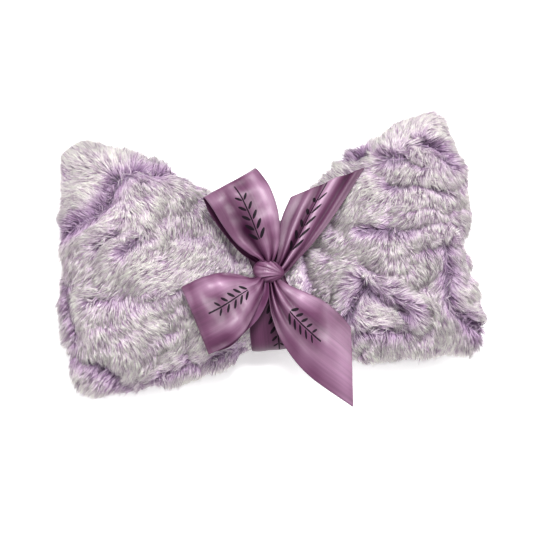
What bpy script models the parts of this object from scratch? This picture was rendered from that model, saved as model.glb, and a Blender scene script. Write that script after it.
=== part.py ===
"""Plush eye pillow, tied round its waist with a satin ribbon bow.

The pillow lies on its back: X runs along its length, +Y towards its deeply gathered edge, and +Z up
through the bow. The origin is on the resting plane, under the knot. Units are metres.

A fur cover (front and back panels) holds a removable cotton insert full of seed. The ribbon gathers
both at the waist, so the pillow is two lobes that fold there. Each lobe's panels are shells round the
fill, and the bow's loops and tails are thin strips that lift from the knot.
"""

import math

import bmesh
import bpy
from mathutils import Vector

MM = 0.001
GAP = 0.3 * MM

# Pillow: half the length is set by the outline, which is the right lobe seen from above.
LOBE_OUTLINE = (
    (17, 22), (21, 42), (46, 64), (75, 76), (97, 82), (109, 74), (115, 48), (117, 12),
    (117, -32), (112, -52), (96, -57), (60, -56), (34, -52), (20, -42), (17, -30), (17, -2),
)
LOBE_CENTRE = Vector((70, 10)) * MM
SEAM_HEIGHT = 22 * MM
CROWN_AT_WAIST = 17 * MM
CROWN_AT_END = 24 * MM
CROWN_GROWS_OVER = 45 * MM
EDGE_POWER = 2.6
UNDERSIDE_FULLNESS = 1.25
OUTLINE_STEPS = 36
RING_SHARES = (0.32, 0.56, 0.75, 0.88, 0.96, 1.0)

# Layers, each as (depth below the tips of the fur, distance in from the outline).
FUR_DEPTH = 8 * MM
SEAM_MARGIN = 18 * MM
COTTON_THICKNESS = 0.8 * MM
COVER_OUTSIDE = (0, 0)
COVER_INSIDE = (FUR_DEPTH, SEAM_MARGIN)
INSERT_OUTSIDE = (FUR_DEPTH + GAP, SEAM_MARGIN + GAP)
INSERT_INSIDE = (INSERT_OUTSIDE[0] + COTTON_THICKNESS, INSERT_OUTSIDE[1] + COTTON_THICKNESS)
FILL_OUTSIDE = (INSERT_INSIDE[0] + GAP, INSERT_INSIDE[1] + GAP)

# Waist: an upright oval that the ribbon pulls the cover into.
WAIST_Y = -6.5 * MM
WAIST_HALF_DEPTH = 36.5 * MM
WAIST_HALF_HEIGHT = 16 * MM
WAIST_HALF_LENGTH = 16.4 * MM
WAIST_STEPS = 32
FOLD_AXIS_X = 32 * MM
FOLD_RADIUS = 14.8 * MM

# Closure: a pair of hook and loop tapes in the lips of the right end.
TAPE_LENGTH = 28 * MM
TAPE_WIDTH = 8 * MM
TAPE_THICKNESS = 1.2 * MM
TAPE_X = 106.4 * MM
TAPE_Y = 36 * MM

# Ribbon and bow.
RIBBON_THICKNESS = 0.5 * MM
BAND_HALF_WIDTH = 15.5 * MM
BAND_HALF_WIDTH_AT_KNOT = 8 * MM
KNOT_CENTRE = Vector((-1.8, -2.2, 44.2)) * MM
KNOT_RADII = Vector((8.4, 6.2, 5.6)) * MM
KNOT_TILT = math.radians(-16)
STRIP_CROWN = 1.5 * MM
STRIP_STEPS = 18
STRIP_ACROSS = 6

# A strip's line is (distance from the knot's centre, height above the table), in mm, and its
# widths are (share of the line, half width). cut is how far a tail's slanted end runs past its
# middle on each edge.
LOOPS = {
    "ribbon_loop_upper": {
        "bearing": math.radians(109.1),
        "line": (
            (10, 47), (20, 51), (33, 55), (45, 56), (52, 52.5), (46, 49), (33, 47.5), (20, 45),
            (10, 43.6),
        ),
        "widths": (
            (0.0, 4.0), (0.18, 9.0), (0.36, 17.0), (0.5, 18.5), (0.64, 17.0), (0.82, 9.0),
            (1.0, 4.0),
        ),
    },
    "ribbon_loop_lower": {
        "bearing": math.radians(210.1),
        "line": (
            (11, 47), (20, 51), (31, 55), (42, 56), (48.5, 52.5), (42, 49), (31, 47.5), (20, 46),
            (11, 43.6),
        ),
        "widths": (
            (0.0, 4.0), (0.18, 9.5), (0.36, 17.0), (0.5, 19.0), (0.64, 17.0), (0.82, 9.5),
            (1.0, 4.0),
        ),
    },
}
TAILS = {
    "ribbon_tail_upper": {
        "bearing": math.radians(50.9),
        "line": ((10.5, 42.8), (20, 43.6), (38, 42.4), (60, 40.5)),
        "widths": ((0.0, 4.0), (0.3, 9.0), (0.6, 12.5), (1.0, 12.6)),
        "cut": -18.5,
    },
    "ribbon_tail_lower": {
        "bearing": math.radians(-53.6),
        "line": ((10.5, 42.8), (22, 44), (40, 43.2), (56, 41.6), (68, 37)),
        "widths": ((0.0, 4.0), (0.3, 10.0), (0.6, 15.5), (1.0, 16.0)),
        "cut": -18.5,
    },
}

# Linear RGB, roughness.
FUR = ((0.50, 0.42, 0.47), 0.95)
COTTON = ((0.80, 0.77, 0.70), 0.90)
SEED = ((0.22, 0.11, 0.05), 0.60)
SATIN = ((0.38, 0.20, 0.32), 0.35)
TAPE = ((0.72, 0.68, 0.74), 0.80)


def material(name, look):
    """A Principled material, made once and then shared."""
    made = bpy.data.materials.get(name)
    if made is None:
        made = bpy.data.materials.new(name)
        made.use_nodes = True
        shader = made.node_tree.nodes["Principled BSDF"]
        shader.inputs["Base Color"].default_value = (*look[0], 1)
        shader.inputs["Roughness"].default_value = look[1]
        shader.inputs["Metallic"].default_value = 0
    return made


def add_object(name, bm, made_of, parent=None):
    """Turns a bmesh into a named, smooth-shaded object whose faces point out."""
    bmesh.ops.recalc_face_normals(bm, faces=bm.faces)
    mesh = bpy.data.meshes.new(name)
    bm.to_mesh(mesh)
    bm.free()
    mesh.shade_smooth()
    mesh.set_sharp_from_angle(angle=math.radians(40))
    mesh.materials.append(made_of)
    obj = bpy.data.objects.new(name, mesh)
    bpy.context.scene.collection.objects.link(obj)
    if parent:
        obj.parent = parent
        obj.matrix_parent_inverse = parent.matrix_world.inverted()
    return obj


def pivot(name, place):
    """An empty at a joint's axis, which the moving pieces hang from."""
    empty = bpy.data.objects.new(name, None)
    empty.location = place
    bpy.context.scene.collection.objects.link(empty)
    bpy.context.view_layer.update()
    return empty


def spline(points, steps, closed):
    """Evenly spaced points on a Catmull-Rom curve through the given ones."""
    count = len(points)
    spans = count if closed else count - 1
    fine = []
    for k in range(spans * 12 + (0 if closed else 1)):
        i, t = divmod(k / 12, 1)
        i = int(i)
        if closed:
            p0, p1, p2, p3 = (points[(i + j - 1) % count] for j in range(4))
        else:
            p0, p1, p2, p3 = (points[min(max(i + j - 1, 0), count - 1)] for j in range(4))
        fine.append(
            (p1 * 2 + (p2 - p0) * t + (p0 * 2 - p1 * 5 + p2 * 4 - p3) * t * t
             + (p1 * 3 - p0 - p2 * 3 + p3) * t ** 3) / 2
        )
    if closed:
        fine.append(fine[0])
    run = [0.0]
    for a, b in zip(fine, fine[1:]):
        run.append(run[-1] + (b - a).length)
    out = []
    at = 0
    for k in range(steps):
        want = run[-1] * k / (steps if closed else steps - 1)
        while at < len(run) - 2 and run[at + 1] < want:
            at += 1
        share = (want - run[at]) / max(run[at + 1] - run[at], 1e-12)
        out.append(fine[at].lerp(fine[at + 1], min(share, 1)))
    return out


def table_value(table, share):
    """Straight-line reading of a table of (share, value)."""
    for (a, low), (b, high) in zip(table, table[1:]):
        if share <= b:
            return low + (high - low) * (share - a) / (b - a)
    return table[-1][1]


def crown(x, depth):
    """Half the lobe's thickness over its middle, for a layer that lies this deep in it."""
    share = min(max((x - FOLD_AXIS_X) / CROWN_GROWS_OVER, 0), 1)
    share = share * share * (3 - 2 * share)
    return CROWN_AT_WAIST + (CROWN_AT_END - CROWN_AT_WAIST) * share - depth


def sheet_point(edge, share, depth, up):
    """A point of one side of a lobe's layer, this share of the way out to its edge."""
    flat = LOBE_CENTRE.lerp(edge, share)
    fullness = 1 if up else UNDERSIDE_FULLNESS
    rise = crown(flat.x, depth) * fullness * math.sqrt(max(1 - share ** EDGE_POWER, 0))
    inward = FOLD_AXIS_X - flat.x
    if inward > 0:
        rise = min(rise, math.sqrt(max(FOLD_RADIUS ** 2 - inward ** 2, 0)) - depth)
    if not up:
        rise = min(rise, SEAM_HEIGHT - GAP / 2 - depth)
    return Vector((flat.x, flat.y, SEAM_HEIGHT + (rise if up else -rise)))


def lobe_edge(inset):
    """The lobe's outline, moved in towards its centre."""
    outline = spline([Vector(p) * MM for p in LOBE_OUTLINE], OUTLINE_STEPS, closed=True)
    edge = []
    for point in outline:
        out = point - LOBE_CENTRE
        edge.append(LOBE_CENTRE + out * (1 - inset / out.length))
    return edge


def add_sheet(bm, side, layer, up, lift=0.0, rim=None):
    """Adds a domed sheet to bm as rings round a centre point, and returns its outer ring."""
    depth, inset = layer
    edge = lobe_edge(inset)
    rings = []
    for share in RING_SHARES:
        if share == 1.0 and rim:
            rings.append(rim)
            continue
        ring = []
        for point in edge:
            place = sheet_point(point, share, depth, up)
            ring.append(bm.verts.new((place.x * side, place.y, place.z + lift)))
        rings.append(ring)
    middle = sheet_point(edge[0], 0.0, depth, up)
    centre = bm.verts.new((middle.x * side, middle.y, middle.z + lift))
    count = len(edge)
    for k in range(count):
        bm.faces.new((centre, rings[0][k], rings[0][(k + 1) % count]))
        for inner, outer in zip(rings, rings[1:]):
            bm.faces.new((inner[k], outer[k], outer[(k + 1) % count], inner[(k + 1) % count]))
    return rings[-1]


def half_shell(name, side, outer, inner, up, made_of, parent):
    """One panel of a lobe: the space between two domed sheets, closed by a rim in the seam plane."""
    bm = bmesh.new()
    lift = GAP / 2 if up else -GAP / 2
    outer_rim = add_sheet(bm, side, outer, up, lift)
    inner_rim = add_sheet(bm, side, inner, up, lift)
    count = len(outer_rim)
    for k in range(count):
        after = (k + 1) % count
        bm.faces.new((outer_rim[k], inner_rim[k], inner_rim[after], outer_rim[after]))
    return add_object(name, bm, made_of, parent)


def lens(name, side, layer, made_of, parent):
    """The fill of a lobe: an upper and a lower sheet that share their edge."""
    bm = bmesh.new()
    rim = add_sheet(bm, side, layer, True)
    add_sheet(bm, side, layer, False, rim=rim)
    return add_object(name, bm, made_of, parent)


def build_lobe(side, label):
    """Fur panels, cotton panels and fill of one lobe, hung on the axis that the lobe folds about."""
    hinge = pivot("fold_" + label, (side * FOLD_AXIS_X, WAIST_Y, SEAM_HEIGHT))
    fur = material("lavender_fur", FUR)
    cotton = material("cotton", COTTON)
    for face, up in (("front", True), ("back", False)):
        half_shell(f"cover_{face}_{label}", side, COVER_OUTSIDE, COVER_INSIDE, up, fur, hinge)
        half_shell(f"insert_{face}_{label}", side, INSERT_OUTSIDE, INSERT_INSIDE, up, cotton, hinge)
    lens(f"seed_fill_{label}", side, FILL_OUTSIDE, material("seed", SEED), hinge)
    return hinge


def oval(depth, angle):
    """A point (y, z) of the waist's oval, moved in by depth."""
    return (
        WAIST_Y + (WAIST_HALF_DEPTH - depth) * math.cos(angle),
        SEAM_HEIGHT + (WAIST_HALF_HEIGHT - depth) * math.sin(angle),
    )


def oval_ring(bm, x, depth):
    ring = []
    for k in range(WAIST_STEPS):
        ring.append(bm.verts.new((x, *oval(depth, math.tau * k / WAIST_STEPS))))
    return ring


def bridge(bm, first, second):
    count = len(first)
    for k in range(count):
        after = (k + 1) % count
        bm.faces.new((first[k], second[k], second[after], first[after]))


def build_waist():
    """The gathered neck of the cover, a thick oval tube, and the neck of the insert inside it."""
    under_band = RIBBON_THICKNESS + GAP
    inside = under_band + FUR_DEPTH * 0.7
    bm = bmesh.new()
    rings = [oval_ring(bm, x, d) for x, d in (
        (-WAIST_HALF_LENGTH, under_band), (WAIST_HALF_LENGTH, under_band),
        (WAIST_HALF_LENGTH, inside), (-WAIST_HALF_LENGTH, inside),
    )]
    for k in range(4):
        bridge(bm, rings[k], rings[(k + 1) % 4])
    add_object("cover_waist", bm, material("lavender_fur", FUR))
    bm = bmesh.new()
    ends = [oval_ring(bm, x, inside + GAP) for x in (-WAIST_HALF_LENGTH, WAIST_HALF_LENGTH)]
    bridge(bm, *ends)
    bm.faces.new(ends[0])
    bm.faces.new(ends[1])
    add_object("insert_waist", bm, material("cotton", COTTON))


def build_band():
    """The ribbon round the waist, which narrows where the knot gathers it."""
    bm = bmesh.new()
    across = (-1.0, -0.5, 0.0, 0.5, 1.0)
    rings = []
    for v in across:
        ring = []
        for k in range(WAIST_STEPS):
            angle = math.tau * k / WAIST_STEPS
            y, z = oval(RIBBON_THICKNESS / 2, angle)
            near_knot = max(0.0, math.sin(angle)) * math.exp(-((y - KNOT_CENTRE.y) / (14 * MM)) ** 2)
            half = BAND_HALF_WIDTH + (BAND_HALF_WIDTH_AT_KNOT - BAND_HALF_WIDTH) * near_knot
            ring.append(bm.verts.new((v * half + KNOT_CENTRE.x * near_knot, y, z)))
        rings.append(ring)
    for first, second in zip(rings, rings[1:]):
        bridge(bm, first, second)
    band = add_object("ribbon_band", bm, material("satin", SATIN))
    thicken(band)


def thicken(obj):
    """Gives a ribbon its thickness, half to each side."""
    solid = obj.modifiers.new("thickness", "SOLIDIFY")
    solid.thickness = RIBBON_THICKNESS
    solid.offset = 0
    solid.use_even_offset = True


def build_knot():
    """A rounded knot, slightly tilted, resting just above the band."""
    bm = bmesh.new()
    bmesh.ops.create_uvsphere(bm, u_segments=20, v_segments=12, radius=1)
    for vert in bm.verts:
        vert.co = Vector(vert.co[i] * KNOT_RADII[i] for i in range(3))
    knot = add_object("ribbon_knot", bm, material("satin", SATIN))
    knot.location = KNOT_CENTRE
    knot.rotation_euler = (0, 0, KNOT_TILT)


def build_strip(name, plan):
    """A loop or a tail: a sheet swept along its line, hung on the axis at its root."""
    heading = Vector((math.cos(plan["bearing"]), math.sin(plan["bearing"]), 0))
    left = Vector((-heading.y, heading.x, 0))
    root = KNOT_CENTRE.copy()
    root.z = 0
    line = spline([Vector(p) * MM for p in plan["line"]], STRIP_STEPS, closed=False)
    cut = plan.get("cut", 0) * MM
    bm = bmesh.new()
    rows = []
    for k, (reach, height) in enumerate(line):
        share = k / (STRIP_STEPS - 1)
        half = table_value(plan["widths"], share) * MM
        row = []
        for j in range(STRIP_ACROSS + 1):
            v = 2 * j / STRIP_ACROSS - 1
            place = root + heading * (reach + cut * v * share ** 2) + left * half * v
            place.z = height - STRIP_CROWN * v * v
            row.append(bm.verts.new(place))
        rows.append(row)
    for a, b in zip(rows, rows[1:]):
        for j in range(STRIP_ACROSS):
            bm.faces.new((a[j], b[j], b[j + 1], a[j + 1]))
    low, high = line[0].y, line[-1].y
    middle = (low + high) / 2 if name in LOOPS else low
    hinge = pivot(name + "_root", root + heading * line[0].x + Vector((0, 0, middle)))
    strip = add_object(name, bm, material("satin", SATIN), hinge)
    thicken(strip)


def cut_pocket(panel, cutter):
    cut = panel.modifiers.new("tape_pocket", "BOOLEAN")
    cut.operation = "DIFFERENCE"
    cut.object = cutter


def add_box(name, low, high, made_of, parent):
    bm = bmesh.new()
    bmesh.ops.create_cube(bm, size=1)
    for vert in bm.verts:
        vert.co = Vector((high[i] if vert.co[i] > 0 else low[i]) for i in range(3))
    return add_object(name, bm, made_of, parent)


def build_closure(hinge):
    """Hook tape under the front lip and loop tape over the back lip, each in its own pocket."""
    nylon = material("nylon_tape", TAPE)
    low_xy = (TAPE_X - TAPE_WIDTH / 2, TAPE_Y - TAPE_LENGTH / 2)
    high_xy = (TAPE_X + TAPE_WIDTH / 2, TAPE_Y + TAPE_LENGTH / 2)
    for name, panel, up in (
        ("closure_hook_tape", "cover_front_right", 1),
        ("closure_loop_tape", "cover_back_right", -1),
    ):
        near = SEAM_HEIGHT + up * GAP / 2
        far = near + up * TAPE_THICKNESS
        add_box(name, (*low_xy, min(near, far)), (*high_xy, max(near, far)), nylon, hinge)
        pocket_far = far + up * GAP
        pocket_near = SEAM_HEIGHT - up * GAP
        pocket = add_box(
            name + "_pocket",
            (low_xy[0] - GAP, low_xy[1] - GAP, min(pocket_near, pocket_far)),
            (high_xy[0] + GAP, high_xy[1] + GAP, max(pocket_near, pocket_far)),
            nylon, hinge,
        )
        pocket.hide_render = True
        pocket.display_type = "WIRE"
        cut_pocket(bpy.data.objects[panel], pocket)


def build():
    for obj in list(bpy.data.objects):
        bpy.data.objects.remove(obj, do_unlink=True)
    build_lobe(-1, "left")
    right_hinge = build_lobe(1, "right")
    build_closure(right_hinge)
    build_waist()
    build_band()
    build_knot()
    for name, plan in {**LOOPS, **TAILS}.items():
        build_strip(name, plan)


build()
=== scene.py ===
"""Looks of a plush eye pillow tied with a satin bow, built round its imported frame.

Each half of the pillow's cover is a closed skin, swollen by a cloth simulation, creased, and planted
with modelled strands of fur. The insert and its fill lie inside it. The ribbon's band, knot, loops and
tails are satin sheets shaped between their edges. Tables are in millimetres and scaled by MM.
"""

import math

import bmesh
import bpy
import numpy as np
from mathutils import Matrix, Vector
from mathutils.bvhtree import BVHTree
from mathutils.kdtree import KDTree


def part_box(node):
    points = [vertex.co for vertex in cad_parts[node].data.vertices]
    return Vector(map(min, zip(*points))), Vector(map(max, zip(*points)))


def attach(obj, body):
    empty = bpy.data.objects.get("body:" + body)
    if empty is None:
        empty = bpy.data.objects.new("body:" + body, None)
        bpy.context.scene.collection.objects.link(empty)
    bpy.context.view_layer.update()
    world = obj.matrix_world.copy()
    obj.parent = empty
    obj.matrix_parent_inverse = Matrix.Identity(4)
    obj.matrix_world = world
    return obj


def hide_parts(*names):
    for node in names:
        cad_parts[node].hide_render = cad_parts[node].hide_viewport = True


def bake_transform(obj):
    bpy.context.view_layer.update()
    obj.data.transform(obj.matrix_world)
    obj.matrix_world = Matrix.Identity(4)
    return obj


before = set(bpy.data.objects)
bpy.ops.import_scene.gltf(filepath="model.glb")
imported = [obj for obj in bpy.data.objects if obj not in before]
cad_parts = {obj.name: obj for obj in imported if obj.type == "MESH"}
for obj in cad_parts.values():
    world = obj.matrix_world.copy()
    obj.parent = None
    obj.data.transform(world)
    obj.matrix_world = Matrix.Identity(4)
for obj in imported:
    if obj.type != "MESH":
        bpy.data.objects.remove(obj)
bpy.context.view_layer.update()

MM = 0.001
SIDES = ((-1, "left"), (1, "right"))

# Skin: how far it lies under the tips of the fur, and how it is meshed and swollen.
COVER_NODES = (
    "cover_front_left", "cover_back_left", "cover_front_right", "cover_back_right", "cover_waist",
)
INNER_NODES = (
    "insert_front_left", "insert_back_left", "insert_front_right", "insert_back_right", "insert_waist",
    "seed_fill_left", "seed_fill_right",
)
TAPE_NODES = ("closure_hook_tape", "closure_loop_tape")
VOXEL = 3 * MM
PILE_ON_LOBE = 4.6 * MM
PILE_AT_WAIST = 1.4 * MM
WAIST_END_X = 17 * MM
LOBE_START_X = 34 * MM
SMOOTH_PASSES = 4
SWELL_PRESSURE = 4.0
SWELL_SLACK = -0.04
SWELL_FRAMES = 20
SWELL_CAP = 3.0 * MM
SKIN_REST_HEIGHT = 2.5 * MM
TAPE_CLEARANCE = 1.0 * MM
FILL_START_X = 22 * MM
INSERT_INSET = 2.4 * MM
FILL_INSET = 4.6 * MM

# Lumps of the fill under the skin, as (wavelength, height) in mm.
LUMPS = ((44, 1.3), (23, 0.7), (12, 0.35))

# Folds in the upper side: a line of (x, y), then depth (a ridge is below zero) and width, in mm.
FOLDS = (
    (((-70, 62), (-57, 59), (-45, 60)), 1.7, 3.2),
    (((-80, 58), (-86, 47), (-93, 40), (-103, 37), (-110, 34)), 2.3, 5.0),
    (((-112, 5), (-112, -12), (-110, -25)), 1.3, 4.0),
    (((-112, -33), (-95, -46), (-82, -54)), 1.7, 5.0),
    (((-100, -6), (-80, -7), (-62, -8), (-49, -5)), 0.5, 4.0),
    (((-73, -53), (-49, -44), (-22, -41)), 1.0, 3.0),
    (((-92, 22), (-80, 29)), 0.9, 3.0),
    (((-80, 17), (-68, 25)), 0.9, 3.0),
    (((51, 58), (58, 60)), 2.0, 4.0),
    (((72, 56), (80, 55.5), (89, 52)), 1.3, 2.6),
    (((90, 63), (97, 59), (104, 50)), 1.6, 3.0),
    (((73, 40), (84, 41), (97, 35)), 1.2, 2.6),
    (((80, 26), (90, 27), (98, 24)), 0.7, 2.4),
    (((53, 17), (64, 15), (76, 15), (90, 18), (101, 17), (106, 10)), 1.2, 2.6),
    (((84, 4), (96, 5)), 1.5, 4.5),
    (((97, 3), (96, -10), (95, -24)), 1.3, 3.5),
    (((95, -30), (109, -43)), 3.2, 4.5),
    (((40, -27), (45, -18), (51, -14), (60, -21), (72, -31)), 2.2, 2.8),
    (((42, -36), (55, -38), (68, -39)), 1.4, 4.0),
    (((37, -25), (42, -15), (50, -9.5), (57, -14), (66, -22), (74, -27), (77, -34)), -3.6, 3.0),
)
FULL_PARTING = 2.2
# The raised shoulder beside a fold: its share of the depth, and its place and width in fold widths.
SHOULDER = (0.4, 2.2, 1.1)

# Dents (or, below zero, bulges) in the outline: (x, y), radius and depth, in mm.
DENTS = (
    (114, 8, 9, 9), (118, -9, 10, 9), (-104, 76, 15, -8), (-111, 83, 10, 6), (-56, 72, 12, 4),
    (-34, 54, 10, -1), (-118, 17, 14, 1), (-119, -4, 8, 2), (-118, -37, 12, -1),
    (-108, -60, 12, -5), (-84, -62, 16, -4), (-56, -56, 14, -3), (-34, -50, 14, -3.5),
    (-23, -47, 8, -5), (46, -58, 14, -4), (118, -32, 14, 4), (114, 38, 14, 2),
    (114, 64, 11, 3.5), (97, 82, 8, -4), (116, -54, 12, 4), (58, 66, 12, 3), (40, 58, 8, 2),
)

# Which way the fur lies on the upper side: (x, y) in mm and a heading in degrees from +X.
COMB = (
    (-110, 40, 200), (-92, 52, 190), (-65, 50, -50), (-44, 45, -55), (-61, 33, -85), (-40, 31, -80),
    (-19, 24, -100), (-78, 24, 215), (-106, 22, 240), (-92, 18, 215), (-74, 19, 215), (-57, 17, 210),
    (-41, 15, 220), (-72, 6, 210), (-58, 4, 200), (-90, -3, 190), (-69, -14, -30), (-80, -12, -50),
    (-60, -18, -55), (-85, -30, -60), (-69, -41, 235), (-56, -45, 205), (-100, -53, 215),
    (-30, -33, 230), (-100, 74, 130), (-80, 76, 95), (-55, 65, 70), (-30, 50, 60), (-60, -58, -90),
    (-90, -60, 240), (-30, -50, -100),
    (37, 8, 190), (68, 24, 215), (53, 38, 235), (45, 0, 190), (45, 50, 120), (50, 64, 110),
    (70, 74, 80), (86, 78, 45), (101, 68, -35), (108, 42, -80), (85, 49, -100), (85, 32, -90),
    (112, 12, -85), (90, -13, -85), (75, -8, -85), (75, 7, -60), (60, 2, 200), (106, -18, -80),
    (108, -48, -60), (85, -43, -88), (60, -48, -88), (55, -27, 0), (40, -46, -80), (25, 12, 190),
    (41, -19, 240), (46, -11, 215), (57, -13, -35), (66, -21, -40), (74, -28, -55),
    (25, -23, 200),
)
COMB_REACH = 9 * MM
# How the fur wanders off its combed way, as (wavelength in mm, radians).
WANDER = ((30, 0.24), (11, 0.16))
WANDER_UNDERNEATH = (60, 1.3)
PARTING_REACH = 6.5 * MM
PARTING_PULL = 1.5
PARTING_TINT = 0.40
TINT_REACH = 5 * MM
CREVICE_REACH = 2.6 * MM
SIDE_DROOP = 1.2

# Strands.
STRANDS = 200000
UNDERSIDE_DENSITY = 0.3
STRAND_LENGTH = 9.5 * MM
STRAND_RADIUS = 0.21 * MM
LIFT = math.radians(26)
DROOP = math.radians(20)
STRAY = 0.2
LENGTH_SPREAD = 0.13
# How the strands' lift and length drift, as (wavelength in mm, radians or share of the length).
LIFT_DRIFT = (17, 0.15)
LENGTH_DRIFT = (21, 0.1)
# Where the ribbon ties them down, strands keep this share of their lift and of their length.
TIED_LIFT = 0.5
TIED_LENGTH = 0.7
STRAND_TAPER = 0.85
STRAND_RIDGE = 0.8
CLUMP_SHARE = 0.15
CLUMP_PULL = 0.6
CLUMP_PULL_SPREAD = 0.2
CLUMP_PULL_MOST = 0.95
CLUMP_PULL_AT_MIDDLE = 0.45
WISP_SHARE = 0.28
# How much of a strand's dullness comes from its tuft, its wisp and itself, and the painted shade
# added where it stands in a fold's crevice.
SHADE_BY_TUFT = 0.20
SHADE_BY_WISP = 0.80
SHADE_BY_STRAND = 0.20
SHADE_IN_CREVICE = 0.22
BRIGHTEN = 0.12
TABLE_CLEARANCE = 0.4 * MM
RIBBON_CLEARANCE = 0.9 * MM
PRESSED_ABOVE = 30 * MM
PLANTED_UNDER_BAND = 3 * MM
STRANDS_PER_PIECE = 19000
SEED = 7

# Ribbon.
RIBBON_THICKNESS = 0.36 * MM
RIBBON_WIDTH = 38 * MM
STEPS_PER_POINT = 16
SHEET_STEPS = 44
SHEET_ACROSS = 26
BAND_AROUND = 128
BAND_ACROSS = 20
BAND_HALF_AT_KNOT = 8.5 * MM
BAND_NARROWS_WITHIN = 14 * MM
BAND_PLEATS = 9
BAND_RIPPLE = 0.55
CREASE_HEIGHT = 0.45 * MM
# How far a pleat rises between the darkest painted shade, in its hollow, and the lightest painted
# highlight, on its crest.
PAINTED_LIGHT_SPAN = 4.4 * MM
# On a loop's inner side the pleats are this much as high, and upside down.
INNER_SIDE_HEIGHT = -0.35
# Painted tones from 0, the darkest painted shade, to 1, the lightest painted highlight (the band's is
# low, as painted shade), and the painted shade at a strip's root by the knot with the share it covers.
OUTER_TONE = 0.52
BAND_TONE = 0.40
ROOT_SHADE = 0.3
ROOT_SHADE_LENGTH = 0.2

# The knot: radii in mm, and its laps. Each lap starts at an angle at the point that the folds fan
# out from, and stands up by a share of the radius, as the pleats, the dome and the pinch do.
KNOT_RADII = (8.8, 6.1, 5.6)
KNOT_FAN = (1.12, -0.20)
KNOT_LAPS = ((-0.34, 0.11), (0.24, -0.03), (0.80, -0.12))
KNOT_PLEATS = 26
KNOT_PLEAT_HEIGHT = 0.018
KNOT_DOME = 0.10
KNOT_PINCH = 0.16
# The knot's mid painted tone, lit on its pleats and laps and shaded in its crevices.
KNOT_TONE = 0.58
KNOT_TURN = math.radians(-14)
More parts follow.
